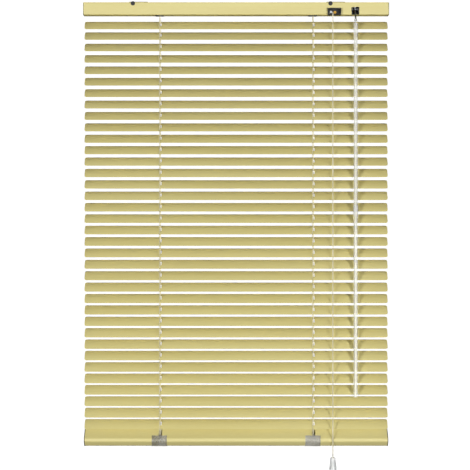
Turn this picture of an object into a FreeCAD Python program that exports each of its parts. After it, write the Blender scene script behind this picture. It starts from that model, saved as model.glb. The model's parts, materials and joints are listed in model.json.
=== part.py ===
import FreeCAD, Part
import math
import os
import re
import Sketcher

# A 25 mm venetian blind, hung from two ceiling brackets. Millimetres.
# +X runs along the headrail, -Y is the room side, +Z is up, and z = 0 is the ceiling.

SLATS = 36

SIZES = (
    # headrail and its end caps
    ("headrail_length", 588), ("headrail_depth", 25), ("headrail_height", 24),
    ("headrail_wall", 0.6), ("headrail_lip", 4), ("headrail_bend", 2.5), ("headrail_drop", 1.7),
    ("window_depth", 4), ("window_gap", 0.5), ("outlet_gap", 0.1),
    ("cap_plate", 1), ("cap_plug", 5), ("cap_gap", 0.15), ("cap_wall", 1.5), ("cap_floor", 0.5),
    # ceiling brackets, measured in from the headrail's ends
    ("bracket_margin", 103.5), ("bracket_span", "headrail_length - 2 * bracket_margin"),
    ("bracket_plate", 0.8), ("bracket_length", 36), ("bracket_width", 15), ("plate_shift", 2),
    ("screw_hole", 4.5), ("bracket_disc", 8), ("disc_offset", 8.5), ("disc_drop", 2.4),
    ("disc_plate", 1.2), ("bracket_tab", 5), ("lever_pivot", 8), ("lever_length", 25),
    ("lever_width", 6), ("lever_plate", 0.7), ("cam_length", 21), ("cam_width", 13), ("cam_plate", 1.2),
    ("pivot_pin", 4), ("pin_gap", 0.08), ("plate_gap", 0.1),
    # slats
    ("slat_margin", 1), ("slat_length", "headrail_length - 2 * slat_margin"),
    ("slat_chord", 25), ("slat_crown", 1.8), ("slat_thickness", 0.25),
    ("slat_corner", 4), ("slat_slot_width", 3.2), ("slat_slot_length", 10),
    ("first_drop", "headrail_height + outlet_lip + outlet_wall + ladder_fall * ladder_spread"
                   " + (slat_chord / 2 + ladder_reach) * sin(rest_tilt) - slat_crown / 2 * cos(rest_tilt)"),
    ("first_pitch", 20.4), ("slat_pitch", 22.09), ("rest_tilt", 43),
    # ladders and cords
    ("ladder_margin", 146), ("ladder_span", "headrail_length - 2 * ladder_margin"),
    ("ladder_cord", 0.9), ("ladder_reach", 1.2), ("ladder_bend_top", 4), ("ladder_bend_edge", 8),
    ("ladder_fan", 6), ("ladder_fan_most", 16), ("ladder_fall", 1.1502),
    ("ladder_spread", "(slat_chord / 2 + ladder_reach) * cos(rest_tilt) + slat_crown / 2 * sin(rest_tilt)"
                      " - (outlet_width / 2 - outlet_wall - ladder_cord)"),
    ("lift_cord", 1.4), ("lift_offset", 2), ("lift_run_y", 8.6), ("lift_run_z", 22.5), ("lift_step", 1.8),
    ("lift_bend", 4), ("cord_gap", 0.3), ("knot_size", 5),
    # bottom rail
    ("rail_margin", 1), ("rail_length", "slat_length - 2 * rail_margin"),
    ("rail_width", 29), ("rail_thickness", 19), ("rail_corner", 4), ("rail_nose", 6.5), ("rail_heel", 1.5),
    ("rail_wall", 1), ("rail_gap", 27),
    ("rail_slot_width", 6), ("rail_cap", 1.2), ("rail_cap_proud", 0.5),
    ("clip_length", 29), ("clip_wall", 0.8), ("clip_edge", 3), ("clip_side", 2), ("clip_gap", 0.1),
    # tilt drive
    ("rod_size", 5), ("rod_y", 1), ("rod_z", 13.7), ("rod_end_gap", 6), ("drum_radius", 6.5),
    ("drum_width", 9), ("drum_flange", 1), ("flange_rise", 1), ("drum_gap", 0.24),
    ("hub_radius", 4), ("hub_length", 3),
    ("cradle_length", 16), ("cradle_wall", 1.6), ("cradle_width", 20), ("cradle_foot", 2),
    ("cheek_inset", 2), ("outlet_width", 12), ("outlet_lip", 1.2), ("outlet_wall", 1), ("outlet_end", 3),
    ("outlet_corner", 0.4), ("bearing_gap", 0.06),
    ("tilter_margin", 64), ("tilter_x", "headrail_length / 2 - tilter_margin"),
    ("tilter_length", 14), ("tilter_wall", 1), ("tilter_slot", 9), ("tilter_rise", 3),
    ("gear_teeth", 12), ("gear_module", 0.8), ("gear_width", 4), ("gear_root", 0.3),
    ("tooth_thickness", 0.7), ("addendum", 0.55),
    ("worm_radius", 3.2), ("worm_thread", 0.65), ("worm_turns", 4), ("worm_root", 0.15),
    ("thread_taper", 0.8), ("worm_end", 1), ("worm_slope", 25),
    ("shaft_radius", 1.6), ("shaft_stub", 2.5), ("neck_radius", 1), ("neck_length", 3.5),
    # wand, which hangs clear of the slats
    ("wand_radius", 4), ("wand_head_radius", 4.3), ("wand_head", 18), ("wand_joint_drop", 403),
    ("wand_end_drop", 760), ("joint_radius", 4.8), ("joint_length", 23), ("joint_gap", 0.05),
    ("wand_clearance", 1.21), ("stick_drop", 2),
    ("ball_radius", 2),
    ("ball_drop", "(slat_chord / 2 + joint_radius + wand_clearance + rod_y"
                  " - (gear_teeth * gear_module / 2 + worm_radius) * cos(worm_slope)) / sin(worm_slope)"),
    ("socket_gap", 0.2), ("socket_wall", 1.1), ("wand_swing", 35), ("way_length", 8), ("way_spare", 2.5),
    ("stem_radius", 1.2), ("stem_length", 6), ("stem_head", 1.5), ("stem_collar", 1), ("stem_depth", 3),
    # pull cord, which hangs clear of the rail as it turns, and the lock that it leaves
    ("pull_cord", 1.8), ("pull_start", 20), ("cord_clearance", 0.4),
    ("cord_y", "max(slat_chord / 2; hypot(rail_width / 2 - rail_corner; rail_thickness / 2 - rail_corner)"
               " + rail_corner) + pull_cord / 2 + cord_clearance"),
    ("lock_margin", 104.5), ("lock_x", "headrail_length / 2 - lock_margin"),
    ("cord_path_offset", 3.3), ("cord_path_x", "lock_x - cord_path_offset"),
    ("lock_length", 25), ("lock_depth", 14.5), ("lock_height", 12.7), ("lock_wall", 1), ("lock_drop", 0.6),
    ("lock_front", 1.5), ("lock_proud", "cord_y - headrail_depth / 2 + lock_front"),
    ("lock_outlet", 5), ("lock_rim", 1.5), ("entry_depth", 6.5), ("entry_height", 5),
    ("guide_pin", 5), ("pin_rise", 1), ("roller_size", 5.5), ("roller_rise", 0.5), ("roller_axle", 1.6),
    ("roller_slope", 35), ("roller_travel", 2.5), ("roller_gap", 0.4), ("axle_gap", 0.25),
    ("tassel_top_drop", 877), ("tassel_length", 24), ("tassel_top", 8.9), ("tassel_bottom", 14.3),
    ("tassel_wall", 1.4), ("tassel_floor", 2.5),
)
NAMES = {name for name, _ in SIZES}

doc = FreeCAD.newDocument("VenetianBlind")
sheet = doc.addObject("Spreadsheet::Sheet", "dims")
for row, (name, value) in enumerate(SIZES, 1):
    sheet.set(f"A{row}", name)
    sheet.setAlias(f"B{row}", name)
for row, (name, value) in enumerate(SIZES, 1):
    sheet.set(f"B{row}", f"={value}")
doc.recompute()

ALONG_X = FreeCAD.Rotation(FreeCAD.Vector(0, 1, 0), 90)
ALONG_Y = FreeCAD.Rotation(FreeCAD.Vector(1, 0, 0), -90)
TILT_AXIS = FreeCAD.Vector(1, 0, 0)
nodes = []


def size(name):
    """The number in a named cell."""
    return float(sheet.get(name))


def bound(text):
    """An expression with each size's name pointed at its cell."""
    return re.sub(r"[a-z_]+", lambda word: "dims." + word[0] if word[0] in NAMES else word[0], str(text))


def bind(obj, **properties):
    for name, text in properties.items():
        obj.setExpression(name, bound(text))
    return obj


def place(obj, where, rotation=None):
    """Puts an object at three expressions."""
    if rotation:
        obj.Placement = FreeCAD.Placement(FreeCAD.Vector(), rotation)
    for axis, text in zip("xyz", where):
        obj.setExpression(f"Placement.Base.{axis}", bound(text))
    return obj


def tilt(obj, angle):
    """Turns an object about X by an expression in degrees."""
    base = obj.Placement.Base
    obj.Placement = FreeCAD.Placement(base, FreeCAD.Rotation(TILT_AXIS, 10))
    obj.setExpression("Placement.Rotation.Angle", bound(angle))
    return obj


def box(lengths, centre):
    """A box of three expressions about a centre."""
    obj = doc.addObject("Part::Box", "Block")
    bind(obj, Length=lengths[0], Width=lengths[1], Height=lengths[2])
    return place(obj, [f"({c}) - ({length}) / 2" for c, length in zip(centre, lengths)])


def rod(radius, length, start, rotation=None):
    """A cylinder that runs from its start along +Z, or along X or Y when it is turned."""
    obj = bind(doc.addObject("Part::Cylinder", "Rod"), Radius=radius, Height=length)
    return place(obj, start, rotation)


def cone(lower, upper, length, start):
    obj = bind(doc.addObject("Part::Cone", "Taper"), Radius1=lower, Radius2=upper, Height=length)
    return place(obj, start)


def ball(radius, centre):
    return place(bind(doc.addObject("Part::Sphere", "Ball"), Radius=radius), centre)


def fuse(*shapes):
    obj = doc.addObject("Part::MultiFuse", "Union")
    obj.Shapes = list(shapes)
    obj.Refine = True
    return obj


def cut(base, *tools):
    obj = doc.addObject("Part::Cut", "Cut")
    obj.Base = base
    obj.Tool = fuse(*tools) if len(tools) > 1 else tools[0]
    return obj


def common(*shapes):
    obj = doc.addObject("Part::MultiCommon", "Overlap")
    obj.Shapes = list(shapes)
    return obj


def group(*shapes):
    """Separate solids that share one node."""
    obj = doc.addObject("Part::Compound", "Group")
    obj.Links = list(shapes)
    return obj


def node(label, obj):
    """Names a finished sub-part."""
    obj.Label = label
    nodes.append(obj)
    return obj


def rounded_bar(length, depth, height, radius, centre=("0", "0", "0")):
    """A bar along X whose section is a rectangle with round corners."""
    length, depth, height, radius = (f"({text})" for text in (length, depth, height, radius))
    parts = [
        box((length, depth, f"{height} - 2 * {radius}"), centre),
        box((length, f"{depth} - 2 * {radius}", height), centre),
    ]
    for across in "-+":
        for up in "-+":
            start = (
                f"{centre[0]} - {length} / 2",
                f"{centre[1]} {across} ({depth} / 2 - {radius})",
                f"{centre[2]} {up} ({height} / 2 - {radius})",
            )
            parts.append(rod(radius, length, start, ALONG_X))
    return fuse(*parts)


def body_with(label):
    return doc.addObject("PartDesign::Body", label)


def plane(body, role):
    return next(f for f in body.Origin.OriginFeatures if f.Role == role)


def rectangle(body, role, width, height, across, up):
    """A sketch of one rectangle, its sides and its centre bound to expressions."""
    sketch = body.newObject("Sketcher::SketchObject", "Outline")
    sketch.AttachmentSupport = (plane(body, role), [""])
    sketch.MapMode = "FlatFace"
    corners = [FreeCAD.Vector(x, y, 0) for x, y in ((-3, -2), (3, -2), (3, 2), (-3, 2))]
    for i in range(4):
        sketch.addGeometry(Part.LineSegment(corners[i], corners[(i + 1) % 4]), False)
    for i in range(4):
        sketch.addConstraint(Sketcher.Constraint("Coincident", i, 2, (i + 1) % 4, 1))
    for i, kind in enumerate(("Horizontal", "Vertical", "Horizontal", "Vertical")):
        sketch.addConstraint(Sketcher.Constraint(kind, i))
    for name, kind, line, number, text in (
        ("wide", "DistanceX", 0, 6, width),
        ("tall", "DistanceY", 1, 4, height),
    ):
        constraint = Sketcher.Constraint(kind, line, 1, line, 2, number)
        sketch.renameConstraint(sketch.addConstraint(constraint), name)
        sketch.setExpression(f"Constraints.{name}", bound(text))
    for name, kind, number, text in (
        ("left", "DistanceX", -3, f"({across}) - ({width}) / 2"),
        ("low", "DistanceY", -2, f"({up}) - ({height}) / 2"),
    ):
        constraint = Sketcher.Constraint(kind, -1, 1, 0, 1, number)
        sketch.renameConstraint(sketch.addConstraint(constraint), name)
        sketch.setExpression(f"Constraints.{name}", bound(text))
    return sketch


def pad(body, sketch, length):
    feature = body.newObject("PartDesign::Pad", "Pad")
    feature.Profile = sketch
    feature.Midplane = True
    return bind(feature, Length=length)


def pocket(body, sketch, length):
    """A pocket that cuts equally to both sides of its sketch."""
    feature = body.newObject("PartDesign::Pocket", "Pocket")
    feature.Profile = sketch
    feature.Midplane = True
    return bind(feature, Length=length)


def round_edges(body, base, radius, wanted):
    """Fillets the edges of a feature that a test picks out."""
    doc.recompute()
    names = [f"Edge{i}" for i, edge in enumerate(base.Shape.Edges, 1) if wanted(edge)]
    feature = body.newObject("PartDesign::Fillet", "Round")
    feature.Base = (base, names)
    return bind(feature, Radius=radius)


# Places worked out from the sizes
HEAD_TOP = "-headrail_drop"
HEAD_MIDDLE = "-headrail_drop - headrail_height / 2"
HEAD_BOTTOM = "-headrail_drop - headrail_height"
HEAD_FRONT = "-headrail_depth / 2"
ROD_Z = "-rod_z"
LADDERS = [f"{sign} * ladder_span / 2" for sign in (-1, 1)]
LIFTS = [f"{sign} * ladder_span / 2 + lift_offset" for sign in (-1, 1)]
BRACKETS = [f"{sign} * bracket_span / 2" for sign in (-1, 1)]
RAIL_Z = f"-headrail_drop - first_drop - first_pitch - {SLATS - 2} * slat_pitch - rail_gap"


def slat_z(index):
    """The height of a slat's axis: the first gap is shorter than the rest."""
    if index == 0:
        return "-headrail_drop - first_drop"
    return f"-headrail_drop - first_drop - first_pitch - {index - 1} * slat_pitch"


def make_headrail():
    """A folded channel: round lower corners, lips turned in at the top, windows for lock and tilter."""
    body = body_with("HeadrailBody")
    outer = pad(body, rectangle(body, "YZ_Plane", "headrail_depth", "headrail_height", 0, HEAD_MIDDLE),
                "headrail_length")
    round_edges(body, outer, "headrail_bend",
                lambda e: e.BoundBox.XLength > 1 and e.CenterOfMass.z < outer.Shape.BoundBox.ZMin + 0.01)
    inside = "(headrail_depth - 2 * headrail_wall)"
    mouth = f"{inside} - 2 * headrail_lip"
    pocket(body, rectangle(body, "YZ_Plane", mouth, "4 * headrail_wall", 0, HEAD_TOP), "headrail_length + 2")
    for x in LADDERS:
        opening = rectangle(body, "XY_Plane", "cradle_length + 2 * outlet_gap",
                            "outlet_width + 2 * outlet_gap", x, 0)
        pocket(body, opening, "2 * (headrail_drop + headrail_height) + 2")
    hollow = rounded_bar("(headrail_length + 2)", inside, "(headrail_height - 2 * headrail_wall)",
                         "(headrail_bend - headrail_wall)", ("0", "0", HEAD_MIDDLE))
    windows = [
        box((length, f"2 * ({depth})", height),
            (x, HEAD_FRONT, f"{HEAD_BOTTOM} + ({height}) / 2 - plate_gap"))
        for x, length, depth, height in (
            ("lock_x", "lock_length + 2 * window_gap", "lock_depth - lock_proud + cord_gap",
             "lock_height + cord_gap"),
            ("tilter_x", "tilter_length + 2 * window_gap", "window_depth", "headrail_height - tilter_slot"),
        )
    ]
    return node("headrail", cut(body, hollow, *windows))


def make_headrail_caps():
    """Moulded caps: a plate over the channel's end and a plug that sits inside it."""
    caps = []
    for sign in "-+":
        plate_x = f"{sign} (headrail_length / 2 + cap_plate / 2)"
        plate = rounded_bar("cap_plate", "headrail_depth", "headrail_height", "headrail_bend",
                            (plate_x, "0", HEAD_MIDDLE))
        plug_depth = "(headrail_depth - 2 * headrail_wall - 2 * cap_gap)"
        plug_height = "(headrail_height - 2 * headrail_wall - 2 * cap_gap)"
        plug = rounded_bar("cap_plug", plug_depth, plug_height, "headrail_bend",
                           (f"{sign} (headrail_length / 2 - cap_plug / 2)", "0", HEAD_MIDDLE))
        bore = box(("cap_plug", f"{plug_depth} - 2 * cap_wall", f"{plug_height} - 2 * cap_wall"),
                   (f"{sign} (headrail_length / 2 - cap_plug / 2 - cap_floor)", "0", HEAD_MIDDLE))
        caps.append(fuse(plate, cut(plug, bore)))
    return node("headrail_end_caps", group(*caps))


def make_bracket_plates():
    """Each bracket: a ceiling plate with its screw hole and pivot hole, and a round cap over the front."""
    plates = []
    for x in BRACKETS:
        middle = f"{x} + (lever_pivot - disc_offset) / 2 + plate_shift"
        z = "-bracket_plate / 2"
        plate = box(("bracket_length", "bracket_width", "bracket_plate"), (middle, "0", z))
        disc_x = f"{x} - disc_offset"
        front = f"{HEAD_FRONT} - plate_gap - disc_plate"
        tab = box(("bracket_tab", f"headrail_depth / 2 + plate_gap + disc_plate", "bracket_plate"),
                  (disc_x, f"({front}) / 2", z))
        turn = box(("bracket_tab", "disc_plate", "headrail_drop + disc_drop"),
                   (disc_x, f"{front} + disc_plate / 2", "-(headrail_drop + disc_drop) / 2"))
        disc = rod("bracket_disc / 2", "disc_plate", (disc_x, front, f"{HEAD_TOP} - disc_drop"), ALONG_Y)
        holes = [
            rod("screw_hole / 2", "3 * bracket_plate", (x, "0", "-2 * bracket_plate")),
            rod("pivot_pin / 2 + pin_gap", "3 * bracket_plate",
                (f"{x} + lever_pivot", "0", "-2 * bracket_plate")),
        ]
        plates.append(cut(fuse(plate, tab, turn, disc), *holes))
    return node("bracket_plates", group(*plates))


def make_cam_lever(name, x):
    """A quarter-turn lever: a strip above the channel's lips and a cam that grips under them."""
    pivot = f"{x} + lever_pivot"
    strip_z = f"{HEAD_TOP} + plate_gap + lever_plate / 2"
    reach = "(lever_length - lever_width) / 2"
    strip = [box((f"2 * {reach}", "lever_width", "lever_plate"), (pivot, "0", strip_z))]
    for sign in "-+":
        strip.append(rod("lever_width / 2", "lever_plate", (f"{pivot} {sign} {reach}", "0",
                                                            f"{HEAD_TOP} + plate_gap")))
    cam_top = f"{HEAD_TOP} - headrail_wall - plate_gap"
    cam = common(
        rod("cam_length / 2", "cam_plate", (pivot, "0", f"{cam_top} - cam_plate")),
        box(("cam_width", "cam_length + 2", "cam_plate * 3"), (pivot, "0", cam_top)),
    )
    cam_low = f"{cam_top} - cam_plate"
    pin = rod("pivot_pin / 2", f"-plate_gap - ({cam_low})", (pivot, "0", cam_low))
    return node(f"cam_lever_{name}", fuse(*strip, cam, pin))


def make_cradles():
    """Moulded cradles that hold the drums' hubs and guide the cords out through the channel's floor."""
    cradles = []
    inside_floor = f"{HEAD_BOTTOM} + headrail_wall"
    for x in LADDERS:
        base = box(("cradle_length + 2 * cradle_foot", "cradle_width", "cradle_wall"),
                   (x, "0", f"{inside_floor} + cradle_wall / 2"))
        outlet = rounded_bar("cradle_length", "outlet_width", "headrail_wall + outlet_lip + cradle_wall",
                             "outlet_corner",
                             (x, "0", f"{HEAD_BOTTOM} + (headrail_wall + cradle_wall - outlet_lip) / 2"))
        cheeks = []
        for sign in "-+":
            place_x = f"{x} {sign} (drum_width / 2 + drum_flange + drum_gap + cradle_wall / 2)"
            height = f"{ROD_Z} + hub_radius - ({inside_floor})"
            cheeks.append(box(("cradle_wall", "cradle_width - 2 * cheek_inset", height),
                              (place_x, "rod_y / 2", f"{inside_floor} + ({height}) / 2")))
        hub_hole = rod("hub_radius + bearing_gap", "cradle_length * 3",
                       (f"{x} - cradle_length * 1.5", "rod_y", ROD_Z), ALONG_X)
        hub_slot = box(("cradle_length * 3", "2 * (hub_radius + bearing_gap)", "hub_radius * 2"),
                       (x, "rod_y", f"{ROD_Z} + hub_radius"))
        throat = box(("cradle_length - 2 * outlet_end", "outlet_width - 2 * outlet_wall", "headrail_height"),
                     (x, "0", HEAD_BOTTOM))
        near_floor = box(("cradle_length", "outlet_width", "4 * (outlet_lip + cradle_wall)"),
                         (x, "0", HEAD_BOTTOM))
        open_floor = common(throat, near_floor)
        cradles.append(cut(fuse(base, outlet, *cheeks), hub_hole, hub_slot, open_floor))
    return node("ladder_cradles", group(*cradles))


def make_tilt_rod():
    """A hexagonal rod with two flanged drums whose hubs turn in the cradles."""
    left_end = "-ladder_span / 2 - drum_width - rod_end_gap"
    length = f"tilter_x + tilter_length / 2 + rod_end_gap - ({left_end})"
    shaft = bind(doc.addObject("Part::Prism", "Hexagon"), Circumradius="rod_size / 2", Height=length)
    shaft.Polygon = 6
    place(shaft, (left_end, "rod_y", ROD_Z), ALONG_X)
    drums = []
    for x in LADDERS:
        wide = "drum_width + 2 * drum_flange"
        drums.append(rod("drum_radius", "drum_width", (f"{x} - drum_width / 2", "rod_y", ROD_Z), ALONG_X))
        for sign in "-+":
            drums.append(rod("drum_radius + flange_rise", "drum_flange",
                             (f"{x} {sign} (drum_width + drum_flange) / 2 - drum_flange / 2", "rod_y", ROD_Z),
                             ALONG_X))
        drums.append(rod("hub_radius", f"{wide} + 2 * hub_length",
                         (f"{x} - ({wide}) / 2 - hub_length", "rod_y", ROD_Z), ALONG_X))
    return node("tilt_rod", fuse(shaft, *drums))


def make_worm_gear():
    """Straight teeth on a hub that is pressed on the rod; a tooth gap faces the worm."""
    pitch_radius = "gear_teeth * gear_module / 2"
    hub = rod(f"{pitch_radius} - addendum - gear_root", "gear_width",
              ("tilter_x - gear_width / 2", "rod_y", ROD_Z), ALONG_X)
    teeth = []
    for index in range(int(size("gear_teeth"))):
        tooth = bind(doc.addObject("Part::Box", "Tooth"), Length="gear_width", Width="tooth_thickness",
                     Height=f"{pitch_radius} + addendum")
        offset = FreeCAD.Vector(0, -size("tooth_thickness") / 2, 0)
        angle = 90 - size("worm_slope") + (index + 0.5) * 360 / size("gear_teeth")
        turn = FreeCAD.Rotation(TILT_AXIS, angle)
        tooth.Placement = FreeCAD.Placement(FreeCAD.Vector(), turn)
        shift = turn.multVec(offset)
        place_at = ("tilter_x - gear_width / 2", f"rod_y + {shift.y}", f"{ROD_Z} + {shift.z}")
        for axis, text in zip("xyz", place_at):
            tooth.setExpression(f"Placement.Base.{axis}", bound(text))
        teeth.append(tooth)
    bore = bind(doc.addObject("Part::Prism", "Bore"), Circumradius="rod_size / 2", Height="gear_width * 3")
    bore.Polygon = 6
    place(bore, ("tilter_x - gear_width * 1.5", "rod_y", ROD_Z), ALONG_X)
    return node("worm_gear", cut(fuse(hub, *teeth), bore))


def worm_place(along):
    """A point on the worm's axis, measured down the axis from the middle of its thread."""
    centre = "(gear_teeth * gear_module / 2 + worm_radius)"
    return ("tilter_x", f"rod_y - {centre} * cos(worm_slope) - ({along}) * sin(worm_slope)",
            f"{ROD_Z} + {centre} * sin(worm_slope) - ({along}) * cos(worm_slope)")


def make_worm_shaft():
    """A single-start thread on a shaft that leans out of the channel and ends in a ball."""
    lead = math.pi * size("gear_module")
    turns = size("worm_turns")
    root = size("worm_radius") - size("addendum") - size("worm_root")
    tip = size("worm_radius") + size("addendum")
    sunk = root - size("gear_root")
    half = size("worm_thread") / 2
    crest = half * size("thread_taper")
    helix = Part.makeHelix(lead, lead * turns, root)
    low = -lead * turns / 2 - lead / 4
    helix.translate(FreeCAD.Vector(0, 0, low))
    profile = Part.makePolygon([FreeCAD.Vector(x, 0, low + z) for x, z in (
        (sunk, -half), (tip, -crest), (tip, crest), (sunk, half), (sunk, -half))])
    thread = Part.Wire(helix).makePipeShell([profile], True, True)
    reach = lead * turns / 2 + size("worm_end")
    core = Part.makeCylinder(root, 2 * reach, FreeCAD.Vector(0, 0, -reach))
    stub = Part.makeCylinder(size("shaft_radius"), reach + size("shaft_stub"), FreeCAD.Vector(0, 0, 0))
    drop = size("ball_drop")
    bare = drop - size("neck_length")
    shaft = Part.makeCylinder(size("shaft_radius"), bare, FreeCAD.Vector(0, 0, -bare))
    neck = Part.makeCylinder(size("neck_radius"), drop - size("worm_end"), FreeCAD.Vector(0, 0, -drop))
    knob = Part.makeSphere(size("ball_radius"), FreeCAD.Vector(0, 0, -drop))
    worm = doc.addObject("Part::Feature", "Worm")
    worm.Shape = core.fuse([thread, stub, shaft, neck, knob]).Solids[0]
    place(worm, worm_place("0"), FreeCAD.Rotation(-TILT_AXIS, size("worm_slope")))
    bind(worm, **{"Placement.Rotation.Angle": "worm_slope"})
    return node("worm_shaft", worm)


def make_tilter_housing():
    """A moulded box around the worm and gear, open at the front for the shaft and at the top."""
    top = f"{ROD_Z} + gear_teeth * gear_module / 2 + tilter_rise"
    floor = f"{HEAD_BOTTOM} + headrail_wall + plate_gap"
    height = f"{top} - ({floor})"
    depth = "headrail_depth - 2 * headrail_wall - 2 * plate_gap"
    middle = f"({top} + {floor}) / 2"
    outer = rounded_bar("tilter_length", depth, height, "headrail_bend", ("tilter_x", "0", middle))
    inner = box(("tilter_length - 2 * tilter_wall", "headrail_depth", height),
                ("tilter_x", "-2 * tilter_wall", f"{middle} + tilter_wall"))
    throat = box(("tilter_length - 2 * tilter_wall", "headrail_depth", height),
                 ("tilter_x", "-headrail_depth / 2 - 2 * tilter_wall", middle))
    bore = rod("hub_radius", "tilter_length * 2", ("tilter_x - tilter_length", "rod_y", ROD_Z), ALONG_X)
    return node("tilter_housing", cut(outer, inner, throat, bore))


SWIVEL = worm_place("ball_drop")
ROLLER = ("cord_path_x + pull_cord / 2 + cord_gap + roller_size / 2", "-lift_run_z + roller_rise")


def swivel_point(down):
    """A point straight below the ball's centre, on the wand's axis."""
    return (SWIVEL[0], SWIVEL[1], f"{SWIVEL[2]} - ({down})")


def make_wand_swivel():
    """A clear socket around the ball, cut open towards the neck, with a stem for the wand."""
    outer = "ball_radius + socket_gap + socket_wall"
    shell = ball(outer, swivel_point("0"))
    hollow = ball("ball_radius + socket_gap", swivel_point("0"))
    way_mouth = "neck_radius + socket_gap + way_length * tan(wand_swing / 2 + way_spare)"
    neck_way = cone("neck_radius + socket_gap", way_mouth, "way_length", swivel_point("0"))
    neck_way = tilt(neck_way, "wand_swing / 2 - worm_slope")
    stem = rod("stem_radius", "stem_length + socket_wall / 2", swivel_point(f"{outer} + stem_length"))
    head = rod("stem_radius + stem_collar", "stem_head", swivel_point(f"{outer} + stem_length"))
    return node("wand_swivel", fuse(cut(shell, hollow, neck_way), stem, head))


def make_wand():
    """A clear hexagonal wand in two lengths: a bored head, and a socket that joins the lower length."""
    outer = "(ball_radius + socket_gap + socket_wall)"
    top = f"{outer} + stem_length - stem_depth"
    top_z = f"{SWIVEL[2]} - ({top})"
    joint_z = "-headrail_drop - wand_joint_drop"
    end_z = "-headrail_drop - wand_end_drop"
    head = rod("wand_head_radius", "wand_head", swivel_point(f"{top} + wand_head"))
    length = f"{top_z} - stick_drop - ({joint_z})"
    stick = bind(doc.addObject("Part::Prism", "Hexagon"), Circumradius="wand_radius", Height=length)
    stick.Polygon = 6
    place(stick, (SWIVEL[0], SWIVEL[1], joint_z))
    bores = [
        rod("stem_radius + pin_gap", "stem_depth + stem_head", swivel_point(f"{top} + stem_depth")),
        rod("stem_radius + stem_collar + pin_gap", "stem_head + 4 * pin_gap",
            swivel_point(f"{top} + stem_depth + 2 * pin_gap")),
    ]
    node("wand_upper", cut(fuse(head, stick), *bores))
    socket_z = f"{joint_z} - joint_length / 2"
    socket = rod("joint_radius", "joint_length", (SWIVEL[0], SWIVEL[1], socket_z))
    lower = bind(doc.addObject("Part::Prism", "Hexagon"), Circumradius="wand_radius",
                 Height=f"{joint_z} - ({end_z}) - joint_gap")
    lower.Polygon = 6
    place(lower, (SWIVEL[0], SWIVEL[1], end_z))
    hole = bind(doc.addObject("Part::Prism", "Hole"), Circumradius="wand_radius + joint_gap",
                Height="joint_length")
    hole.Polygon = 6
    place(hole, (SWIVEL[0], SWIVEL[1], f"{joint_z} - joint_gap"))
    return node("wand_lower", cut(fuse(lower, socket), hole))


def make_cord_lock():
    """A folded box open at the front, with a guide pin, and a roller that slides in a slanted slot."""
    front = f"{HEAD_FRONT} - lock_proud"
    middle_y = f"{front} + lock_depth / 2"
    low = f"{HEAD_BOTTOM} - lock_drop"
    middle_z = f"{low} + lock_height / 2"
    outer = box(("lock_length", "lock_depth", "lock_height"), ("lock_x", middle_y, middle_z))
    inner = box(("lock_length - 2 * lock_wall", "lock_depth", "lock_height - 2 * lock_wall"),
                ("lock_x", f"{middle_y} - lock_wall", middle_z))
    outlet = box(("lock_outlet", "lock_depth - 2 * lock_rim", "4 * lock_wall"),
                 ("cord_path_x", f"{middle_y} - lock_rim", low))
    entry = box(("4 * lock_wall", "entry_depth", "entry_height"),
                ("lock_x - lock_length / 2", "-lift_run_y - lift_step / 2", "-lift_run_z"))
    half_slot = "(roller_axle / 2 + axle_gap)"
    slot = bind(doc.addObject("Part::Box", "Slot"), Length=f"roller_travel + 2 * {half_slot}",
                Width="4 * lock_wall", Height=f"2 * {half_slot}")
    place(slot, (f"{ROLLER[0]} + {half_slot} * (sin(roller_slope) - cos(roller_slope))",
                 f"{middle_y} + lock_depth / 2 - 2 * lock_wall",
                 f"{ROLLER[1]} - {half_slot} * (sin(roller_slope) + cos(roller_slope))"),
          FreeCAD.Rotation(FreeCAD.Vector(0, -1, 0), 10))
    bind(slot, **{"Placement.Rotation.Angle": "roller_slope"})
    pin_x = "cord_path_x - pull_cord / 2 - cord_gap - guide_pin / 2"
    pin = rod("guide_pin / 2", "lock_depth - lock_wall", (pin_x, front, "-lift_run_z + pin_rise"), ALONG_Y)
    node("cord_lock_housing", fuse(cut(outer, inner, outlet, entry, slot), pin))
    start = f"{front} + roller_gap"
    length = "lock_depth - lock_wall - 2 * roller_gap"
    drum = rod("roller_size / 2", length, (ROLLER[0], start, ROLLER[1]), ALONG_Y)
    axle = rod("roller_axle / 2", "lock_depth - roller_gap", (ROLLER[0], start, ROLLER[1]), ALONG_Y)
    return node("cord_lock_roller", fuse(drum, axle))


def make_slats():
    """One crowned strip with round corners and two route slots, repeated down the blind."""
    radius = "((slat_chord ^ 2 / 4 + slat_crown ^ 2) / (2 * slat_crown))"
    axis_z = f"slat_crown / 2 - {radius}"
    start = ("-slat_length / 2", "0", axis_z)
    past_end = ("-slat_length / 2 - 1", "0", axis_z)
    shell = cut(rod(f"{radius} + slat_thickness / 2", "slat_length", start, ALONG_X),
                rod(f"{radius} - slat_thickness / 2", "slat_length + 2", past_end, ALONG_X))
    tall = "slat_crown * 3"
    plan = [
        box(("slat_length", "slat_chord - 2 * slat_corner", tall), ("0", "0", "0")),
        box(("slat_length - 2 * slat_corner", "slat_chord", tall), ("0", "0", "0")),
    ]
    for along in "-+":
        for across in "-+":
            corner = (f"{along} (slat_length / 2 - slat_corner)", f"{across} (slat_chord / 2 - slat_corner)")
            plan.append(rod("slat_corner", tall, (*corner, f"-({tall}) / 2")))
    slots = []
    for x in LIFTS:
        straight = "slat_slot_length - slat_slot_width"
        slots.append(box(("slat_slot_width", straight, tall), (x, "0", "0")))
        for sign in "-+":
            slots.append(rod("slat_slot_width / 2", tall, (x, f"{sign} ({straight}) / 2", f"-({tall}) / 2")))
    pattern = cut(common(shell, fuse(*plan)), *slots)
    doc.recompute()
    for index in range(SLATS):
        slat = doc.addObject("PartDesign::Body", "Slat")
        slat.BaseFeature = pattern
        place(slat, ("0", "0", slat_z(index)))
        node(f"slat_{index + 1:02d}", tilt(slat, "rest_tilt"))


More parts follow.
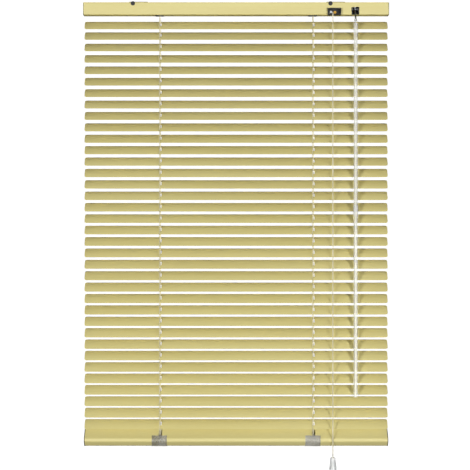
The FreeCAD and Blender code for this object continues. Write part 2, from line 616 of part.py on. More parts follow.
def rail_section(length, grow, x="0"):
    """The rail's section, grown by a margin: rail_nose rounds the front's top, rail_heel the back's."""
    width = f"(rail_width + 2 * ({grow}))"
    height = f"(rail_thickness + 2 * ({grow}))"
    corner, nose, heel = (f"(rail_{part} + {grow})" for part in ("corner", "nose", "heel"))
    long = f"({length} + 2)"
    bar = box((length, width, height), (x, "0", "0"))
    for radius, across, up in ((nose, "-", "+"), (heel, "+", "+"), (corner, "-", "-"), (corner, "+", "-")):
        middle_y = f"{across} ({width} / 2 - {radius})"
        middle_z = f"{up} ({height} / 2 - {radius})"
        block = box((long, f"2 * {radius}", f"2 * {radius}"),
                    (x, f"{middle_y} {across} {radius}", f"{middle_z} {up} {radius}"))
        bar = cut(bar, cut(block, rod(radius, long, (f"{x} - {long} / 2", middle_y, middle_z), ALONG_X)))
    return bar


def make_rail():
    """The hollow bottom rail, its caps and the clear clips that hold the ladders' ends."""
    bar = cut(rail_section("rail_length", "0"), rail_section("(rail_length + 2)", "-rail_wall"),
              *[box(("rail_slot_width", "rail_thickness * tan(rest_tilt) + 4 * lift_cord", "rail_thickness"),
                    (x, "0", "rail_thickness / 2")) for x in LIFTS])
    caps, clips = [], []
    for sign in "-+":
        caps.append(fuse(
            rail_section("rail_cap", "rail_cap_proud", f"{sign} (rail_length / 2 + rail_cap / 2)"),
            rail_section("cap_plug", "-rail_wall - cap_gap", f"{sign} (rail_length / 2 - cap_plug / 2)")))
    for x in LADDERS:
        shell = cut(rail_section("clip_length", "clip_gap + clip_wall", x),
                    rail_section("(clip_length + 2)", "clip_gap", x))
        open_side = box(("clip_length + 2", "rail_width", "rail_thickness"),
                        (x, "rail_width / 2 - clip_edge", "rail_thickness / 2 - clip_side"))
        clips.append(cut(shell, open_side))
    pieces = (("bottom_rail", bar), ("bottom_rail_caps", group(*caps)), ("ladder_clips", group(*clips)))
    for label, shape in pieces:
        node(label, tilt(place(shape, ("0", "0", RAIL_Z)), "rest_tilt"))


def make_knots():
    knots = [ball("knot_size / 2", (x, "0", RAIL_Z)) for x in LIFTS]
    return node("lift_cord_knots", group(*knots))


def tube(points, radius, bends):
    """A round cord along straight runs that are joined by tangent arcs."""
    edges, last = [], FreeCAD.Vector(*points[0])
    for index in range(1, len(points) - 1):
        corner = FreeCAD.Vector(*points[index])
        back = (FreeCAD.Vector(*points[index - 1]) - corner).normalize()
        ahead = (FreeCAD.Vector(*points[index + 1]) - corner).normalize()
        half = back.getAngle(ahead) / 2
        tangent = bends[index - 1] / math.tan(half)
        first, second = corner + back * tangent, corner + ahead * tangent
        bisector = (back + ahead).normalize()
        hub = corner + bisector * (bends[index - 1] / math.sin(half))
        middle = hub - bisector * bends[index - 1]
        edges += [Part.LineSegment(last, first).toShape(), Part.Arc(first, middle, second).toShape()]
        last = second
    edges.append(Part.LineSegment(last, FreeCAD.Vector(*points[-1])).toShape())
    path = Part.Wire(edges)
    start = FreeCAD.Vector(*points[0])
    direction = FreeCAD.Vector(*points[1]) - start
    section = Part.Wire(Part.makeCircle(radius, start, direction))
    return path.makePipeShell([section], True, True), path.Length


def number(text):
    """What an expression comes to, for the shapes that are built from numbers."""
    return float(sheet.evalExpression(bound(text)))


def solid(shape):
    feature = doc.addObject("Part::Feature", "Cord")
    feature.Shape = shape
    return feature


def ladder_points(x, sign):
    """A ladder cord's route: off its drum, out of the cradle, past the slats' edges, to the rail."""
    reach = "(slat_chord / 2 + ladder_reach)"
    edge_y = number(f"{sign} * {reach} * cos(rest_tilt) + slat_crown / 2 * sin(rest_tilt)")
    first_z = number(f"{slat_z(0)} + {sign} * {reach} * sin(rest_tilt) - slat_crown / 2 * cos(rest_tilt)")
    outlet = number(f"{sign} * (outlet_width / 2 - outlet_wall - ladder_cord)")
    below = number(f"{HEAD_BOTTOM} - outlet_lip - outlet_wall")
    lowest = below - size("ladder_fan_most")
    proud = "clip_gap + clip_wall"
    if sign < 0:
        beside = f"({edge_y} + ladder_cord / 2) * sin(rest_tilt)"
        over = f"(rail_thickness / 2 + {proud} + {beside}) / cos(rest_tilt)"
    else:
        beside = f"({edge_y} - ladder_cord / 2) * cos(rest_tilt)"
        over = f"(rail_width / 2 + {proud} - {beside}) / sin(rest_tilt)"
    return [
        (x, outlet, number(f"{HEAD_BOTTOM} + headrail_wall + cradle_wall")),
        (x, outlet, below),
        (x, edge_y, max(min(first_z, below - size("ladder_fan")), lowest)),
        (x, edge_y, number(f"{RAIL_Z} + {over} + cord_gap")),
    ]


def make_ladders():
    bends = (size("ladder_bend_top"), size("ladder_bend_edge"))
    for label, sign in (("ladder_front_cords", -1), ("ladder_back_cords", 1)):
        cords = []
        for x in LADDERS:
            shape, length = tube(ladder_points(number(x), sign), size("ladder_cord") / 2, bends)
            print(label, round(length, 1), "bend radii", bends)
            cords.append(solid(shape))
        node(label, group(*cords))


def make_lift_cords():
    """Two cords: up from the knots, over the cradles, along the channel and into the lock."""
    run_z, bend = -size("lift_run_z"), size("lift_bend")
    run_end = number("cord_path_x - pull_cord / 2 - guide_pin - 2 * cord_gap")
    cords = []
    for index, x in enumerate(LIFTS):
        start = number(x)
        run_y = -size("lift_run_y") - (1 - index) * size("lift_step")
        low = number(f"{RAIL_Z} + knot_size / 2")
        points = [(start, 0, low), (start, 0, run_z), (start, run_y, run_z), (run_end, run_y, run_z)]
        shape, length = tube(points, size("lift_cord") / 2, (bend, bend))
        print("lift cord", round(length, 1), "bend radii", bend, bend)
        cords.append(solid(shape))
    return node("lift_cords", group(*cords))


def make_pull_cord():
    """The pull cord hangs straight from the lock and ends in the tassel."""
    top = number("-headrail_drop - pull_start")
    place_x, place_y = size("cord_path_x"), -size("cord_y")
    bottom = number("-headrail_drop - tassel_top_drop - tassel_length / 2")
    cord = rod("pull_cord / 2", top - bottom, (place_x, place_y, bottom))
    node("pull_cord", cord)
    base = number("-headrail_drop - tassel_top_drop - tassel_length")
    outer = cone("tassel_bottom / 2", "tassel_top / 2", "tassel_length", (place_x, place_y, base))
    bore = cone("tassel_bottom / 2 - tassel_wall", "tassel_top / 2 - tassel_wall",
                "tassel_length - tassel_floor", (place_x, place_y, f"{base} - 0.01"))
    hole = rod("pull_cord / 2", "tassel_length", (place_x, place_y, f"{base} + tassel_length / 2"))
    return node("tassel", cut(outer, bore, hole))


make_headrail()
make_headrail_caps()
make_bracket_plates()
for side, x in zip(("left", "right"), BRACKETS):
    make_cam_lever(side, x)
make_cradles()
make_tilt_rod()
make_worm_gear()
make_worm_shaft()
make_tilter_housing()
make_wand_swivel()
make_wand()
make_cord_lock()
make_slats()
make_rail()
make_knots()
make_ladders()
make_lift_cords()
make_pull_cord()

doc.recompute()
for obj in doc.Objects:
    if "Invalid" in obj.State or "Error" in obj.State:
        raise RuntimeError(f"{obj.Label} failed: {obj.State}")
for obj in nodes:
    if obj.Shape.isNull() or not obj.Shape.isValid():
        raise RuntimeError(f"{obj.Label} has no valid shape")

os.makedirs("parts", exist_ok=True)
for obj in nodes:
    obj.Shape.exportStep(f"parts/{obj.Label}.step")
    print(obj.Label, len(obj.Shape.Solids), round(obj.Shape.Volume, 1))
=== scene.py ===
import json
import math

import bpy
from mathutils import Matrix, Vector


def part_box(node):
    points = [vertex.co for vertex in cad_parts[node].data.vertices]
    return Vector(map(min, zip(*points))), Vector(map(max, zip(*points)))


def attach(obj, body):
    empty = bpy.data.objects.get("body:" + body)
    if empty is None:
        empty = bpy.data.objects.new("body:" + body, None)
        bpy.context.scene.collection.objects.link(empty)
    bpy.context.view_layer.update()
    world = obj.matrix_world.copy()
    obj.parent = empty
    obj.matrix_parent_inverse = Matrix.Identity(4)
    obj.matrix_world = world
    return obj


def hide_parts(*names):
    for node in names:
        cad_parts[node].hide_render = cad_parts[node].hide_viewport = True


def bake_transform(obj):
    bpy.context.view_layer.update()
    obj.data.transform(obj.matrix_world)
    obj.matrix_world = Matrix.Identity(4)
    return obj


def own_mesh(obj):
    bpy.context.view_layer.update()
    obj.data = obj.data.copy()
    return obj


# A 25 mm venetian blind in cream enamel. Metres; +X runs along the headrail, -Y is the room side,
# and z = 0 is the ceiling.

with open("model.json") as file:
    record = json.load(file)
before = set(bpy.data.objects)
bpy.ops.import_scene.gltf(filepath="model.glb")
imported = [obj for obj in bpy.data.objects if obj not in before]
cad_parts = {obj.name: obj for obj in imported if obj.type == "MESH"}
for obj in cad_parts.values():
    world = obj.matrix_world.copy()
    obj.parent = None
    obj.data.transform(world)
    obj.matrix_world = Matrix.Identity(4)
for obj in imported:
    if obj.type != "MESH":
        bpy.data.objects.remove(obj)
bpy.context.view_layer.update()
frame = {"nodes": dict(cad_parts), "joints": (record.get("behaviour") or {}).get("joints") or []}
nodes = frame["nodes"]
scene = bpy.context.scene

MM = 0.001
SLATS = 36
REST_TILT = math.radians(43)
SLAT_HALF_CHORD = 12.5 * MM
SLAT_CROWN = 1.8 * MM
SLAT_THICKNESS = 0.25 * MM
LADDER_CORD = 0.9 * MM
LIFT_CORD = 1.4 * MM
PULL_CORD = 1.8 * MM
# How far the lift cords lie apart in the channel, and how far below their run they turn down.
LIFT_STEP, LIFT_DIP = 1.8 * MM, 4 * MM
# A ladder cord leaves its outlet this far from the middle, and passes this far outside a slat's edge.
LADDER_OUTLET, LADDER_REACH = 4.1 * MM, 1.2 * MM


def slat_axis(index):
    """The height of a slat's axis, from its own joint."""
    name = f"slat_{index + 1:02d}_tilt"
    return next(joint["pos_m"][2] for joint in frame["joints"] if joint["name"] == name)


# ---- camera ----------------------------------------------------------------------------------

CAMERA_PLACE = (-0.0021, -2.8, -0.4503)

bpy.ops.object.select_all(action="DESELECT")
bpy.ops.object.camera_add(location=CAMERA_PLACE, rotation=(math.radians(90), 0, 0))
camera = bpy.context.object
camera.data.sensor_width = 36
camera.data.lens = 110.8
scene.camera = camera


# ---- making pieces ---------------------------------------------------------------------------

def begin(add, **options):
    """Adds a primitive with nothing else selected, and opens it in edit mode."""
    bpy.ops.object.select_all(action="DESELECT")
    add(**options)
    bpy.ops.object.mode_set(mode="EDIT")
    return bpy.context.object


def end(obj, name, smooth=35):
    """Closes edit mode, puts the piece's place into its mesh, and smooths its shading."""
    bpy.ops.object.mode_set(mode="OBJECT")
    bpy.ops.object.transform_apply(location=True, rotation=True, scale=True)
    bpy.ops.object.shade_smooth_by_angle(angle=math.radians(smooth))
    obj.name = name
    obj.data.name = name
    return obj


def modified(obj, kind, **settings):
    """Adds a modifier and applies it."""
    bpy.ops.object.select_all(action="DESELECT")
    bpy.context.view_layer.objects.active = obj
    obj.select_set(True)
    modifier = obj.modifiers.new(kind.title(), kind)
    for setting, value in settings.items():
        setattr(modifier, setting, value)
    bpy.ops.object.modifier_apply(modifier=modifier.name)
    return obj


def joined(name, pieces):
    """Joins pieces into the first."""
    bpy.ops.object.select_all(action="DESELECT")
    for piece in pieces:
        piece.select_set(True)
    bpy.context.view_layer.objects.active = pieces[0]
    bpy.ops.object.join()
    pieces[0].name = name
    pieces[0].data.name = name
    return pieces[0]


def turned(name, centre, rings, segments=36):
    """A turned shape: a circle extruded up from ring to ring, each with its radius and height."""
    (first, base), rest = rings[0], rings[1:]
    x, y, z = centre
    obj = begin(bpy.ops.mesh.primitive_circle_add, vertices=segments, radius=first,
                location=(x, y, z + base))
    last, height = first, base
    for radius, up in rest:
        bpy.ops.mesh.extrude_region_move(TRANSFORM_OT_translate={"value": (0, 0, up - height)})
        grow = radius / last
        bpy.ops.transform.resize(value=(grow, grow, 1), center_override=(x, y, z + up))
        last, height = radius, up
    bpy.ops.mesh.select_all(action="SELECT")
    bpy.ops.mesh.remove_doubles(threshold=0.00001)
    bpy.ops.mesh.normals_make_consistent(inside=False)
    return end(obj, name)


def route(name, points):
    """A cord's line: one smooth spline whose control points are the route's."""
    curve = bpy.data.curves.new(name, "CURVE")
    curve.dimensions = "3D"
    spline = curve.splines.new("NURBS")
    spline.points.add(len(points) - 1)
    for control, point in zip(spline.points, points):
        control.co = (*point, 1)
    spline.order_u = 3
    spline.use_endpoint_u = True
    spline.resolution_u = 10
    obj = bpy.data.objects.new(name, curve)
    scene.collection.objects.link(obj)
    return obj


def line_of(cord):
    """The points that a cord's spline runs through."""
    mesh = bpy.data.meshes.new_from_object(cord)
    points = [tuple(vertex.co) for vertex in mesh.vertices]
    bpy.data.meshes.remove(mesh)
    return points


def tube(cord, diameter, sides=3):
    """Gives a cord's spline its round section and makes it a mesh."""
    cord.data.bevel_depth = diameter / 2
    cord.data.bevel_resolution = sides
    cord.data.use_fill_caps = True
    bpy.ops.object.select_all(action="DESELECT")
    bpy.context.view_layer.objects.active = cord
    cord.select_set(True)
    bpy.ops.object.convert(target="MESH")
    mesh_cord = bpy.context.object
    bpy.ops.object.mode_set(mode="EDIT")
    bpy.ops.mesh.select_all(action="SELECT")
    bpy.ops.mesh.remove_doubles(threshold=0.00001)
    bpy.ops.mesh.normals_make_consistent(inside=False)
    bpy.ops.object.mode_set(mode="OBJECT")
    bpy.ops.object.shade_smooth_by_angle(angle=math.radians(60))
    return mesh_cord


def drop(x, y, top, bottom, count=9):
    """Control points of a straight hang."""
    return [(x, y, top + (bottom - top) * step / (count - 1)) for step in range(count)]


# ---- cords -----------------------------------------------------------------------------------

# The pull cord leaves the lock and hangs straight under its tassel's weight.
cord_low, cord_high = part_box("pull_cord")
cord_x, cord_y = (cord_low.x + cord_high.x) / 2, (cord_low.y + cord_high.y) / 2
pull_cord = route("pull_cord_braid", drop(cord_x, cord_y, cord_high.z, cord_low.z))
pull_path = line_of(pull_cord)
pull_cord = tube(pull_cord, PULL_CORD)
tassel_low, tassel_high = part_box("tassel")
tassel_length = tassel_high.z - tassel_low.z
TASSEL_BOTTOM, TASSEL_TOP, TASSEL_WALL, TASSEL_FLOOR = 7.15 * MM, 4.45 * MM, 1.4 * MM, 2.5 * MM
LIP = 0.5 * MM
HOLE = PULL_CORD / 2 + 0.1 * MM
tassel = turned("tassel_bell", (cord_x, cord_y, tassel_low.z), (
    (TASSEL_BOTTOM - LIP, 0), (TASSEL_BOTTOM, LIP),
    (TASSEL_TOP + LIP / 2, tassel_length - LIP), (TASSEL_TOP - LIP / 2, tassel_length),
    (HOLE, tassel_length), (HOLE, tassel_length - TASSEL_FLOOR),
    (TASSEL_TOP - TASSEL_WALL, tassel_length - TASSEL_FLOOR), (TASSEL_BOTTOM - TASSEL_WALL, LIP),
    (TASSEL_BOTTOM - LIP, 0)))
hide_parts("pull_cord")
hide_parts("tassel")
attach(tassel, "pull_cord")
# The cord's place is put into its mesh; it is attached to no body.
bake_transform(pull_cord)

# Two lift cords: each rises from its knot in the bottom rail, then runs along the headrail to the lock.
knot_low, knot_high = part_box("lift_cord_knots")
KNOT = 5 * MM
KNOT_TURN, KNOT_RADIUS, KNOT_THICKNESS = 0.6 * MM, 1.4 * MM, 0.75 * MM
# The cord rounds its two corners over this length, and lies straight this far from the run's ends.
CORNER, STRAIGHT = 1 * MM, 20 * MM
lift_low, lift_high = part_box("lift_cords")
run_z = lift_high.z - LIFT_CORD / 2
rail_z = (knot_low.z + knot_high.z) / 2
lift_drops, lift_runs, knots = [], [], []
for order, lift_x in enumerate((knot_low.x + KNOT / 2, knot_high.x - KNOT / 2)):
    run_y = lift_low.y + LIFT_CORD / 2 + order * LIFT_STEP
    dip_z = run_z - LIFT_DIP
    lift_drops.append(tube(route("lift_drop", drop(lift_x, 0, dip_z, rail_z + KNOT / 2)), LIFT_CORD))
    lift_runs.append(tube(route("lift_run", [
        (lift_x, 0, dip_z), (lift_x, 0, run_z - CORNER), (lift_x, -CORNER, run_z),
        (lift_x, run_y + CORNER, run_z), (lift_x + CORNER, run_y, run_z), (lift_x + STRAIGHT, run_y, run_z),
        (lift_high.x - STRAIGHT, run_y, run_z), (lift_high.x, run_y, run_z)]), LIFT_CORD))
    for turn in (-1, 1):
        knot = begin(bpy.ops.mesh.primitive_torus_add, location=(lift_x, 0, rail_z + turn * KNOT_TURN),
                     rotation=(turn * 0.5, 0.3, 0), major_segments=20, minor_segments=8,
                     major_radius=KNOT_RADIUS, minor_radius=KNOT_THICKNESS)
        knots.append(end(knot, "knot", 60))
lift_drop = joined("lift_cord_drops", lift_drops)
lift_run = joined("lift_cord_runs", lift_runs)
knot_pair = joined("lift_knots", knots)
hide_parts("lift_cords")
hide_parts("lift_cords")
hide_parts("lift_cord_knots")
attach(lift_run, "headrail")
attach(knot_pair, "lift")
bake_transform(lift_drop)

# Ladders: from the headrail's outlets to the first slat's edges, then straight down to the rail.
ladder_tops, cords_of_ladder = [], {}
# Below its outlet a cord drops straight, then spreads, and is upright again just above the slat's edge.
DROP_STRAIGHT, SPREAD_AT, UPRIGHT = 3 * MM, 8 * MM, 3 * MM
for side, node_name in (("front", "ladder_front_cords"), ("back", "ladder_back_cords")):
    low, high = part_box(node_name)
    sign = -1 if side == "front" else 1
    edge_y = low.y + LADDER_CORD / 2 if sign < 0 else high.y - LADDER_CORD / 2
    outlet_y = sign * LADDER_OUTLET
    reach = SLAT_HALF_CHORD + LADDER_REACH
    edge_z = slat_axis(0) + sign * reach * math.sin(REST_TILT) - SLAT_CROWN / 2 * math.cos(REST_TILT)
    shrink_from = slat_axis(SLATS - 2) + sign * reach * math.sin(REST_TILT)
    mains, feet = [], []
    for x in (low.x + LADDER_CORD / 2, high.x - LADDER_CORD / 2):
        strand = tube(route(f"ladder_{side}_top", [
            (x, outlet_y, high.z), (x, outlet_y, high.z - DROP_STRAIGHT),
            (x, (outlet_y + edge_y) / 2, high.z - SPREAD_AT),
            (x, edge_y, edge_z + UPRIGHT), (x, edge_y, edge_z)]), LADDER_CORD)
        where = "left" if x < 0 else "right"
        strand.name = f"ladder_{side}_top_{where}"
        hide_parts(node_name)
        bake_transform(strand)
        ladder_tops.append(strand)
        mains.append(tube(route("main", drop(x, edge_y, edge_z, shrink_from)), LADDER_CORD))
        feet.append(tube(route("foot", drop(x, edge_y, shrink_from, low.z, 5)), LADDER_CORD))
    main = joined(f"ladder_{side}_main", mains)
    foot = joined(f"ladder_{side}_foot", feet)
    for piece in (main, foot):
        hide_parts(node_name)
        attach(piece, f"ladder_{side}")
    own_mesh(foot)
    cords_of_ladder[side] = [main, foot]

# Rungs: two threads under each slat at each ladder, which part under it and meet at its edges.
RUNG, RUNG_SPREAD = 0.6 * MM, 2.4 * MM
RADIUS = (SLAT_HALF_CHORD ** 2 + SLAT_CROWN ** 2) / (2 * SLAT_CROWN)
ladder_low, ladder_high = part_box("ladder_front_cords")
ladder_places = (ladder_low.x + LADDER_CORD / 2, ladder_high.x - LADDER_CORD / 2)


def rung_points(x, part, height):
    """A thread under a slat: along the crown's underside, apart from its twin in the middle."""
    points = []
    for step in (-1, -0.9, -0.45, 0, 0.45, 0.9, 1):
        across = step * (SLAT_HALF_CHORD + LADDER_REACH)
        under = SLAT_CROWN / 2 - RADIUS + math.sqrt(RADIUS ** 2 - across ** 2)
        if abs(step) < 1:
            under -= SLAT_THICKNESS / 2 + RUNG / 2
        aside = part * (1 - step * step) * RUNG_SPREAD
        points.append((x + aside, across * math.cos(REST_TILT) - under * math.sin(REST_TILT),
                       height + across * math.sin(REST_TILT) + under * math.cos(REST_TILT)))
    return points


threads = []
for x in ladder_places:
    for part in (-1, 1):
        thread = route("thread", rung_points(x, part, 0))
        thread.data.splines[0].resolution_u = 2
        threads.append(tube(thread, RUNG, 0))
pattern = joined("rungs_01", threads)
rungs = []
for index in range(SLATS):
    piece = pattern if index == SLATS - 1 else pattern.copy()
    if piece is not pattern:
        piece.data = pattern.data.copy()
        scene.collection.objects.link(piece)
    rungs.append(piece)
for index, piece in enumerate(rungs):
    piece.name = f"rungs_{index + 1:02d}"
    for vertex in piece.data.vertices:
        vertex.co.z += slat_axis(index)
    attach(piece, f"slat_{index + 1:02d}")


# ---- lock fittings ---------------------------------------------------------------------------

# The roller's knurl: every other edge along its side is drawn in.
roller_low, roller_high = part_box("cord_lock_roller")
roller_x, roller_z = (roller_low.x + roller_high.x) / 2, (roller_low.z + roller_high.z) / 2
ROLLER, AXLE, TEETH = 2.75 * MM, 0.8 * MM, 22
AXLE_PROUD, AXLE_EDGE = 1.4 * MM, 0.15 * MM
# The share of the radius that a valley of the knurl keeps.
VALLEY = 0.86
roller_back = roller_high.y - AXLE_PROUD
roller = begin(bpy.ops.mesh.primitive_cylinder_add, vertices=2 * TEETH, radius=ROLLER, end_fill_type="NGON",
               depth=roller_back - roller_low.y, rotation=(math.radians(90), 0, 0),
               location=(roller_x, (roller_low.y + roller_back) / 2, roller_z))
bpy.ops.mesh.select_all(action="DESELECT")
bpy.ops.object.mode_set(mode="OBJECT")
for vertex in roller.data.vertices:
    angle = math.atan2(vertex.co.y, vertex.co.x) / (2 * math.pi) * 2 * TEETH
    vertex.select = round(angle) % 2 == 0
bpy.ops.object.mode_set(mode="EDIT")
bpy.ops.transform.resize(value=(VALLEY, 1, VALLEY), center_override=(roller_x, 0, roller_z))
roller = end(roller, "lock_roller_barrel", 20)
axle = begin(bpy.ops.mesh.primitive_cylinder_add, vertices=20, radius=AXLE,
             depth=roller_high.y - roller_low.y, rotation=(math.radians(90), 0, 0),
             location=(roller_x, (roller_low.y + roller_high.y) / 2, roller_z))
bpy.ops.mesh.select_all(action="SELECT")
axle = end(axle, "axle")
modified(axle, "BEVEL", width=AXLE_EDGE, segments=2)
roller = joined("lock_roller_barrel", [roller, axle])
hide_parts("cord_lock_roller")
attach(roller, "cord_lock_roller")

# The guide pin's bright sleeve, which the cord bears on beside the roller.
PIN, PIN_RISE, PIN_GAP, SLEEVE = 5 * MM, 1 * MM, 0.3 * MM, 0.06 * MM
ROLLER_GAP, SLEEVE_EDGE = 0.4 * MM, 0.3 * MM
pin_x = cord_x - PULL_CORD / 2 - PIN_GAP - PIN / 2
pin_z = run_z + PIN_RISE
sleeve_start, sleeve_end = roller_low.y - ROLLER_GAP - SLEEVE, roller_back
sleeve = begin(bpy.ops.mesh.primitive_cylinder_add, vertices=48, radius=PIN / 2 + SLEEVE,
               depth=sleeve_end - sleeve_start, rotation=(math.radians(90), 0, 0),
               location=(pin_x, (sleeve_start + sleeve_end) / 2, pin_z))
sleeve = end(sleeve, "guide_pin_sleeve")
modified(sleeve, "BEVEL", width=SLEEVE_EDGE, segments=3, limit_method="ANGLE")
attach(sleeve, "headrail")


# ---- materials -------------------------------------------------------------------------------

def linear(code):
    """A hex sRGB colour as linear red, green, blue and alpha."""
    channels = [int(code[start:start + 2], 16) / 255 for start in (1, 3, 5)]
    return [c / 12.92 if c <= 0.04045 else ((c + 0.055) / 1.055) ** 2.4 for c in channels] + [1]


def add(tree, kind, inputs=(), links=(), **settings):
    """Adds a node with its settings, its input values and its links."""
    new = tree.nodes.new(kind)
    for setting, value in settings.items():
        setattr(new, setting, value)
    for socket, value in dict(inputs).items():
        new.inputs[socket].default_value = value
    for socket, output in dict(links).items():
        tree.links.new(output, new.inputs[socket])
    return new


def material(name, **shader):
    """A material with its shader's own values set, and its Object coordinates."""
    made = bpy.data.materials.new(name)
    made.use_nodes = True
    tree = made.node_tree
    surface = tree.nodes["Principled BSDF"]
    for socket, value in shader.items():
        surface.inputs[socket.replace("_", " ")].default_value = value
    place = add(tree, "ShaderNodeTexCoord").outputs["Object"]
    return made, tree, surface, place


def grained(name, light, dark, grain_mm, stretch=(1, 1, 1), bump_mm=0.02, rough=(0.35, 0.5), **shader):
    """A finish that varies over its surface: two colours, a roughness range and a fine bump."""
    made, tree, surface, place = material(name, **shader)
    mapped = add(tree, "ShaderNodeMapping", {"Scale": stretch}, {"Vector": place}).outputs["Vector"]
    scale = 1 / (grain_mm * MM)
    grain = add(tree, "ShaderNodeTexNoise", {"Scale": scale, "Detail": 3}, {"Vector": mapped})
    broad = add(tree, "ShaderNodeTexNoise", {"Scale": scale / 24, "Detail": 2}, {"Vector": mapped})
    mixed = add(tree, "ShaderNodeMath", {1: 0.5}, {0: grain.outputs["Fac"]}, operation="MULTIPLY")
    both = add(tree, "ShaderNodeMath", (), {0: mixed.outputs[0], 1: broad.outputs["Fac"]}, operation="ADD")
    tone = add(tree, "ShaderNodeValToRGB", (), {"Fac": both.outputs[0]})
    tone.color_ramp.elements[0].position, tone.color_ramp.elements[0].color = 0.5, linear(dark)
    tone.color_ramp.elements[1].position, tone.color_ramp.elements[1].color = 1.0, linear(light)
    gloss = add(tree, "ShaderNodeMapRange", {"To Min": rough[0], "To Max": rough[1]},
                {"Value": grain.outputs["Fac"]})
    bump = add(tree, "ShaderNodeBump", {"Distance": bump_mm * MM, "Strength": 0.5},
               {"Height": grain.outputs["Fac"]})
    tree.links.new(tone.outputs["Color"], surface.inputs["Base Color"])
    tree.links.new(gloss.outputs["Result"], surface.inputs["Roughness"])
    tree.links.new(bump.outputs["Normal"], surface.inputs["Normal"])
    return made


# Coil-coated enamel on aluminium: satin, with a faint orange peel drawn out along the strip.
enamel = grained("cream_coil_enamel", "#E1D694", "#D9CC87", 1.6, stretch=(0.12, 1, 1), bump_mm=0.008,
                 rough=(0.34, 0.46))
# Injection-moulded ABS caps: dull grey-olive, with the tool's fine grain.
cap_plastic = grained("grey_olive_moulded_abs", "#413F31", "#2B2A20", 0.5, bump_mm=0.02, rough=(0.5, 0.65))
# Bright zinc plate on steel: metal with a faint cloudy spangle.
zinc = grained("zinc_plated_steel", "#C4C6C8", "#8F9294", 2.2, bump_mm=0.01, rough=(0.25, 0.42),
               Metallic=1.0)
# Black enamelled steel brackets: glossy over a rolled surface.
black_steel = grained("black_enamelled_steel", "#1B1B1C", "#0D0D0E", 0.8, bump_mm=0.01, rough=(0.28, 0.42))
# Moulded nylon cradles and tilter box: dark, slightly waxy.
nylon = grained("black_moulded_nylon", "#34342F", "#22221E", 0.6, bump_mm=0.02, rough=(0.45, 0.6))
# Turned brass: warm metal with fine lines round it.
brass = grained("turned_brass", "#C79A45", "#8F6A2A", 0.6, bump_mm=0.01, rough=(0.2, 0.36), Metallic=1.0)
# Braided polyester cord in cream: threads about 0.8 mm apart, drawn coarser than real so they show.
braid = grained("braided_polyester_cord", "#EFE9CF", "#CFC7A2", 0.8, stretch=(1, 1, 0.5), bump_mm=0.12,
                rough=(0.7, 0.85))
# Extruded acrylic wand: clear and glossy, with slight flow lines along it.
acrylic = grained("clear_extruded_acrylic", "#FFFFFF", "#F8FAF8", 3, stretch=(1, 1, 0.1), bump_mm=0.03,
                  rough=(0.03, 0.1), IOR=1.49)
# Moulded polycarbonate clips: thin and clear, so the rail shows through, with a rippled bump; their white
# and dark olive mottle is painted highlight and painted shade of the ripples.
clip_painted_glints = grained("rippled_clear_polycarbonate", "#FFFFFF", "#7A765A", 1.8, bump_mm=1.2,
                     rough=(0.08, 0.2), IOR=1.58, Alpha=0.45)
# Frosted polypropylene tassel: grey, darker where its wall is seen edge on.
smoke = grained("frosted_grey_polypropylene", "#FFFFFF", "#E4E7E5", 1.2, bump_mm=0.03,
                rough=(0.28, 0.4), IOR=1.49)
for see_through, share in ((acrylic, 0.72), (smoke, 0.45)):
    see_through.node_tree.nodes["Principled BSDF"].inputs["Transmission Weight"].default_value = share


def coat(obj, finish):
    """Gives a piece one finish."""
    obj.data.materials.clear()
    obj.data.materials.append(finish)


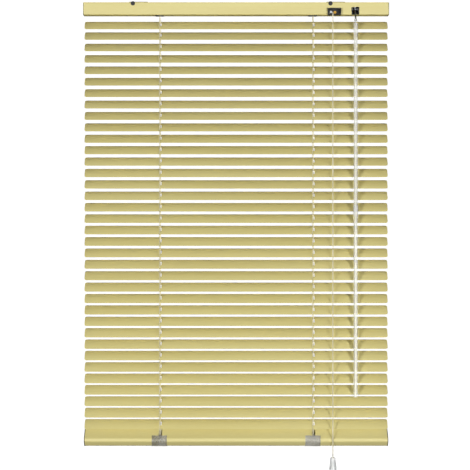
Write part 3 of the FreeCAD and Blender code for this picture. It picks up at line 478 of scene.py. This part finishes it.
for finish, names in (
    (enamel, ["headrail", "bottom_rail"] + [f"slat_{index + 1:02d}" for index in range(SLATS)]),
    (cap_plastic, ["headrail_end_caps", "bottom_rail_caps"]),
    (black_steel, ["bracket_plates", "cord_lock_housing"]),
    (zinc, ["cam_lever_left", "cam_lever_right", "tilt_rod", "worm_shaft"]),
    (nylon, ["ladder_cradles", "tilter_housing"]),
    (brass, ["worm_gear"]),
    (acrylic, ["wand_upper", "wand_lower", "wand_swivel"]),
    (clip_painted_glints, ["ladder_clips"]),
):
    for node_name in names:
        coat(nodes[node_name], finish)
for piece, finish, slot in (
    [(pull_cord, braid, "cord"), (lift_drop, braid, "cord"), (lift_run, braid, "cord"),
     (knot_pair, braid, "cord"), (tassel, smoke, "smoked_plastic"), (roller, brass, "brass"),
     (sleeve, zinc, "zinc_steel")]
    + [(strand, braid, "cord") for strand in ladder_tops + rungs]
    + [(piece, braid, "cord") for pieces in cords_of_ladder.values() for piece in pieces]
):
    coat(piece, finish)


# ---- studio ----------------------------------------------------------------------------------

MIDDLE_Z = -0.45
ROOM_SIZE, CARD_SIZE = 14, 8


def staged(name, add_primitive, finish, **options):
    """A piece of the studio, which isn't part of the blind."""
    obj = begin(add_primitive, **options)
    obj = end(obj, name)
    coat(obj, finish)
    return obj


# A lit white sheet, as a studio's walls are.
lit, _, lit_surface, _ = material("lit_white_sheet", Base_Color=linear("#FCFCFC"), Roughness=0.9)
lit_surface.inputs["Emission Color"].default_value = linear("#FFFFFF")
lit_surface.inputs["Emission Strength"].default_value = 1.0
# A white room all round: it shows behind the blind, but neither lights the slats nor shines off them.
room = staged("white_room", bpy.ops.mesh.primitive_cube_add, lit, size=ROOM_SIZE, location=(0, 0, MIDDLE_Z))
room.visible_diffuse = False
room.visible_glossy = False
# A white card behind the camera, seen only as the shine on metal, enamel and clear plastic.
card = staged("front_card", bpy.ops.mesh.primitive_plane_add, lit, size=CARD_SIZE,
              location=(0, -4.6, MIDDLE_Z), rotation=(math.radians(-90), 0, 0))
card.visible_diffuse = False

world = bpy.data.worlds.new("studio")
scene.world = world
world.use_nodes = True
world.node_tree.nodes["Background"].inputs["Color"].default_value = linear("#FFFFFF")
world.node_tree.nodes["Background"].inputs["Strength"].default_value = 0.02
scene.view_settings.view_transform = "Standard"
TARGET = Vector((0, 0, MIDDLE_Z))
for name, place, power, width in (
    ("left_key", (-1.25, -2.35, -0.5), 37, 0.02),
    ("right_key", (1.25, -2.35, -0.5), 37, 0.02),
    ("front_fill", (0, -3.6, -1.0), 10, 1.2),
    ("back_left_fill", (-1.6, 3.0, -0.9), 6, 1.0),
    ("back_right_fill", (1.6, 3.0, -0.9), 6, 1.0),
):
    bpy.ops.object.light_add(type="AREA", location=place)
    lamp = bpy.context.object
    lamp.name = name
    lamp.data.energy = power
    lamp.data.size = width
    lamp.visible_camera = False
    lamp.rotation_euler = (TARGET - Vector(place)).to_track_quat("-Z", "Y").to_euler()
